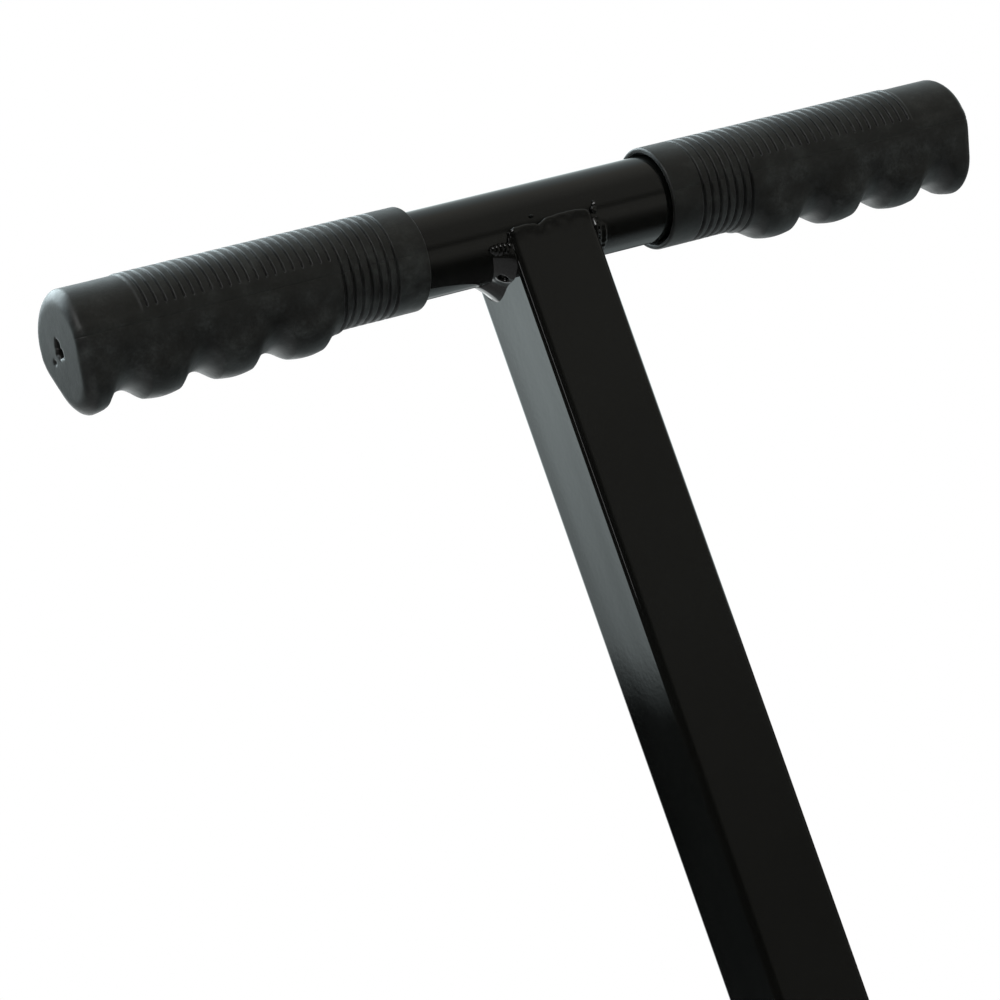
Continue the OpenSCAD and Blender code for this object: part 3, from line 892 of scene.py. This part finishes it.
def thread_rings(start, end, sides=48):
    """Rings of a screw thread along Y that fades in at its start and is pointed at its end."""
    rings = []
    for y in np.arange(start, end, THREAD_PITCH / 12):
        fade = min(1.0, (y - start) / (2.5 * MM))
        limit = BOLT_R - max(0.0, y - (end - 1.2 * MM)) * 0.9
        radii = []
        for k in range(sides):
            phase = (y / THREAD_PITCH - k / sides) % 1.0
            crest = min(1.0, max(0.0, 2.3 * abs(phase - 0.5) * 2 - 0.65))
            radii.append(min(limit, BOLT_R - THREAD_DEPTH * fade * (1 - crest)))
        rings.append(along_y(radii, y))
    rings.append(along_y([BOLT_R - 1.6 * MM] * sides, end))
    return rings


def make_stop_bolt(material):
    face, under = BOLT_LOW.y, WASHER_LOW.y
    head = tube_mesh(hex_rings(face, under - 0.35 * MM, 1.3 * MM))
    collar = tube_mesh(turned_rings([(7.4 * MM, under - 0.5 * MM), (7.4 * MM, under)]))
    thread_start = BOLT_HIGH.y - THREAD_LENGTH
    shank = tube_mesh(turned_rings([(BOLT_R, under - 1 * MM), (BOLT_R, thread_start + 0.2 * MM)], 48))
    thread = tube_mesh(thread_rings(thread_start, BOLT_HIGH.y))
    add_piece("stop_bolt_detailed", *join_meshes(head, collar, shank, thread), material,
              "ram", "zinc_plate", "stop_bolt")


def make_washers(material):
    washers = []
    outer = (WASHER_HIGH.x - WASHER_LOW.x) / 2
    for inner_y, outer_y in ((WASHER_LOW.y + WASHER_THICKNESS, WASHER_LOW.y),
                             (WASHER_HIGH.y - WASHER_THICKNESS, WASHER_HIGH.y)):
        step = 1 if outer_y > inner_y else -1
        profile = [(BOLT_HOLE_R, inner_y), (outer - 0.15 * MM, inner_y), (outer, inner_y + step * 0.2 * MM),
                   (outer, outer_y - step * 0.7 * MM), (outer - 0.12 * MM, outer_y - step * 0.3 * MM),
                   (outer - 0.55 * MM, outer_y), (BOLT_HOLE_R + 0.45 * MM, outer_y),
                   (BOLT_HOLE_R, outer_y - step * 0.4 * MM)]
        washers.append(closed_mesh(turned_rings(profile)))
    add_piece("stop_washers_detailed", *join_meshes(*washers), material, "ram", "zinc_plate", "stop_washers")


def make_spacer(name, near, far, material):
    """A tube on the bolt with broken edges, from |y| = near to |y| = far."""
    bevel = math.copysign(0.4 * MM, far - near)
    profile = [(BOLT_HOLE_R, near + bevel), (5.6 * MM, near), (6.6 * MM, near), (7.0 * MM, near + bevel),
               (7.0 * MM, far - bevel), (6.6 * MM, far), (5.6 * MM, far), (BOLT_HOLE_R, far - bevel)]
    spacer = closed_mesh(turned_rings(profile, 64))
    add_piece(name + "_detailed", *spacer, material, "ram", "zinc_plate", name)


def make_nut(zinc, plastic):
    base, top = NUT_LOW.y, NUT_HIGH.y
    hexagon = tube_mesh(hex_rings(base + 8.0 * MM, base, 1.1 * MM))
    profile = [(7.75 * MM, base + 6.0 * MM), (7.75 * MM, base + 8.6 * MM), (7.55 * MM, base + 9.3 * MM),
               (7.1 * MM, top - 0.1 * MM), (6.85 * MM, top), (6.5 * MM, top - 0.1 * MM),
               (6.4 * MM, top - 0.4 * MM), (6.4 * MM, top - 1.6 * MM), (5.1 * MM, top - 1.6 * MM)]
    collar = tube_mesh(turned_rings(profile))
    add_piece("stop_nut_detailed", *join_meshes(hexagon, collar), zinc, "ram", "zinc_plate", "stop_nut")
    profile = [(4.95 * MM, top - 1.5 * MM), (6.38 * MM, top - 1.5 * MM), (6.38 * MM, top - 0.5 * MM),
               (6.1 * MM, top - 0.15 * MM), (5.4 * MM, top - 0.15 * MM), (4.95 * MM, top - 0.5 * MM)]
    insert = closed_mesh(turned_rings(profile))
    add_piece("nut_insert_detailed", *insert, plastic, "ram", "black_plastic", "nut_insert")


def screw_mesh(side, y, z):
    """A button-head screw along X with a hexagon socket."""
    seat = SCREW_HIGH.x - SCREW_HEAD_HEIGHT
    key = 1.75 * MM
    sides = 60
    shank = seat - SCREW_LENGTH
    profile = [(1.9 * MM, shank), (2.4 * MM, shank + 0.6 * MM), (2.4 * MM, seat), (4.30 * MM, seat),
               (SCREW_HEAD_R, seat + 0.25 * MM), (SCREW_HEAD_R, seat + 0.8 * MM),
               (4.25 * MM, seat + 1.35 * MM), (3.75 * MM, seat + 1.9 * MM),
               (3.1 * MM, seat + 2.35 * MM), (2.5 * MM, seat + 2.6 * MM)]
    rings = []
    for radius, x in profile:
        rings.append([(radius, 2 * math.pi * k / sides, x) for k in range(sides)])
    for scale, x in ((1.12, seat + 2.6 * MM), (1.0, seat + 2.45 * MM), (0.97, seat + 1.1 * MM)):
        rings.append([(scale * hex_radius(2 * math.pi * k / sides, key), 2 * math.pi * k / sides, x)
                      for k in range(sides)])
    placed = [[Vector((side * x, y + r * math.cos(a), z + r * math.sin(a))) for r, a, x in ring]
              for ring in rings]
    return tube_mesh(placed)


def make_bush_screws(material):
    z = (SCREW_LOW.z + SCREW_HIGH.z) / 2
    y = SCREW_HIGH.y - SCREW_HEAD_R
    screws = [screw_mesh(side, place, z) for side in (-1, 1) for place in (-y, y)]
    add_piece("bush_screws_detailed", *join_meshes(*screws), material, "guide", "zinc_plate", "bush_screws")


# ---------------- welds of the guide
SLEEVE_LOW, SLEEVE_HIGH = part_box("guide_sleeve")
SLEEVE_HALF = SLEEVE_HIGH.x
WELD_LEG = 5 * MM
GUSSET_WELD_LEG = 3 * MM
SLEEVE_CORNER = 4.0 * MM
GUSSET_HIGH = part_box("right_gusset")[1]
SOCKET_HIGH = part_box("socket")[1]
SOCKET_R = SOCKET_HIGH.x


def bead_mesh(stations, leg, pitch, seed, closed=False):
    """A rippled fillet bead; each station is (inner corner, way off one face, way off the other)."""
    rings = []
    steps = 12
    travelled = 0.0
    before = stations[0][0]
    for i, (corner, first, second) in enumerate(stations):
        travelled += (corner - before).length
        before = corner
        ends = min(1.0, 0.35 + min(i, len(stations) - 1 - i) / 5) if not closed else 1.0
        ring = [corner - 0.35 * leg * (first + second)]
        for j in range(steps + 1):
            share = j / steps
            turn = share * math.pi / 2
            phase = travelled / pitch + 0.45 * math.sin(math.pi * share)
            coin = abs(math.sin(math.pi * phase)) ** 0.6
            flat = 0.84 + 0.12 * abs(math.cos(2 * turn))
            reach = leg * ends * flat * (0.90 + 0.10 * coin)
            reach += lumps(corner + leg * share * first, 3.0 * MM, 0.06 * leg, seed)
            spot = corner + reach * (math.cos(turn) * first + math.sin(turn) * second)
            spot -= 0.02 * leg * (first * (j == steps) + second * (j == 0))
            ring.append(spot)
        rings.append(ring)
    return closed_mesh(rings) if closed else tube_mesh(rings)


def straight_run(start, end, first, second, step=0.30 * MM):
    """Stations of a straight bead between two points."""
    start, end = Vector(start), Vector(end)
    count = max(4, int((end - start).length / step))
    return [(start.lerp(end, i / count), Vector(first), Vector(second)) for i in range(count + 1)]


def square_loop(half, corner, z, step=0.35 * MM):
    """Stations round the foot of a square bar with rounded edges."""
    stations = []
    straight = half - corner
    for quarter in range(4):
        turn = Matrix.Rotation(quarter * math.pi / 2, 3, "Z")
        for y in np.arange(-straight, straight, step):
            stations.append((turn @ Vector((half, y, 0)), turn @ Vector((1, 0, 0))))
        for angle in np.arange(0, math.pi / 2, step / (corner + 2 * MM)):
            away = Vector((math.cos(angle), math.sin(angle), 0))
            stations.append((turn @ (Vector((straight, straight, 0)) + corner * away), turn @ away))
    return [(spot + Vector((0, 0, z)), away, Vector((0, 0, 1))) for spot, away in stations]


def make_guide_welds(material, steel):
    slot = "black_powder_coat"
    striker_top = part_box("striker_weld")[0].z
    ram_foot = bead_mesh(square_loop(POST_HALF, POST_CORNER, striker_top),
                         WELD_LEG, 2.0 * MM, 30.0, closed=True)
    add_piece("striker_weld_bead", *ram_foot, steel, "ram", "bare_steel", "striker_weld")
    foot = bead_mesh(square_loop(SLEEVE_HALF, SLEEVE_CORNER, SLEEVE_LOW.z),
                     WELD_LEG, 2.1 * MM, 31.0, closed=True)
    add_piece("sleeve_weld_bead", *foot, material, "guide", slot, "sleeve_weld")
    round_pipe = []
    for angle in np.arange(0, 2 * math.pi, 0.3 * MM / SOCKET_R):
        away = Vector((math.cos(angle), math.sin(angle), 0))
        round_pipe.append((SOCKET_R * away + Vector((0, 0, SOCKET_HIGH.z)), away, Vector((0, 0, -1))))
    pipe = bead_mesh(round_pipe, WELD_LEG, 2.2 * MM, 32.0, closed=True)
    add_piece("socket_weld_bead", *pipe, material, "guide", slot, "socket_weld")
    half = GUSSET_HIGH.y
    top = GUSSET_HIGH.z
    base = SLEEVE_LOW.z
    beads = []
    for quarter in range(4):
        turn = Matrix.Rotation(quarter * math.pi / 2, 3, "Z")
        for side in (-1, 1):
            runs = (straight_run((SLEEVE_HALF + 7.2 * MM, side * half, base),
                                 (GUSSET_HIGH.x - 0.3 * MM, side * half, base), (0, side, 0), (0, 0, 1)),
                    straight_run((SLEEVE_HALF, side * half, base + 7.2 * MM),
                                 (SLEEVE_HALF, side * half, top - 0.3 * MM), (0, side, 0), (1, 0, 0)))
            for k, run in enumerate(runs):
                stations = [(turn @ spot, turn @ first, turn @ second) for spot, first, second in run]
                seed = 40.0 + quarter * 4 + side + k
                beads.append(bead_mesh(stations, GUSSET_WELD_LEG, 1.5 * MM, seed))
    add_piece("gusset_weld_beads", *join_meshes(*beads), material, "guide", slot, "gusset_welds")


EDGE_BEVEL = 0.5 * MM
BEVELLED = ("anvil_plate", "front_gusset", "back_gusset", "left_gusset", "right_gusset", "guide_bush",
            "striker")


def break_edges():
    """Rounds the sharp edges of the plain plates and blocks a little."""
    for node in BEVELLED:
        joined = frame["nodes"][node].modifiers.new("joined_corners", "WELD")
        joined.merge_threshold = 0.01 * MM
        bevel = frame["nodes"][node].modifiers.new("broken_edges", "BEVEL")
        bevel.width = EDGE_BEVEL
        bevel.segments = 3
        bevel.limit_method = "ANGLE"
        bevel.angle_limit = math.radians(35)
        bevel.harden_normals = True


# ---------------- assembly
def cover_cad_nodes(materials):
    """Gives every CAD node that stays its slot's material."""
    slots = {s["node"]: s["material_slot"] for s in frame["record"]["subparts"]}
    for node, piece in frame["nodes"].items():
        piece.data.materials.clear()
        piece.data.materials.append(materials[slots[node]])


make_camera()
make_studio()
make_floor(floor_material())
MATERIALS = {
    "black_powder_coat": powder_coat(),
    "grip_rubber": grip_rubber(),
    "bare_steel": bare_steel(),
    "zinc_plate": zinc_plate(),
    "black_plastic": black_plastic(),
}
cover_cad_nodes(MATERIALS)
make_grip("left_grip", -1, MATERIALS["grip_rubber"])
make_grip("right_grip", 1, MATERIALS["grip_rubber"])
make_handle_welds(MATERIALS["black_powder_coat"])
ZINC = MATERIALS["zinc_plate"]
make_stop_bolt(ZINC)
make_washers(ZINC)
make_spacer("front_spacer", -POST_HALF, WASHER_LOW.y + WASHER_THICKNESS, ZINC)
make_spacer("back_spacer", POST_HALF, WASHER_HIGH.y - WASHER_THICKNESS, ZINC)
make_nut(ZINC, MATERIALS["black_plastic"])
make_bush_screws(ZINC)
make_guide_welds(MATERIALS["black_powder_coat"], MATERIALS["bare_steel"])
break_edges()
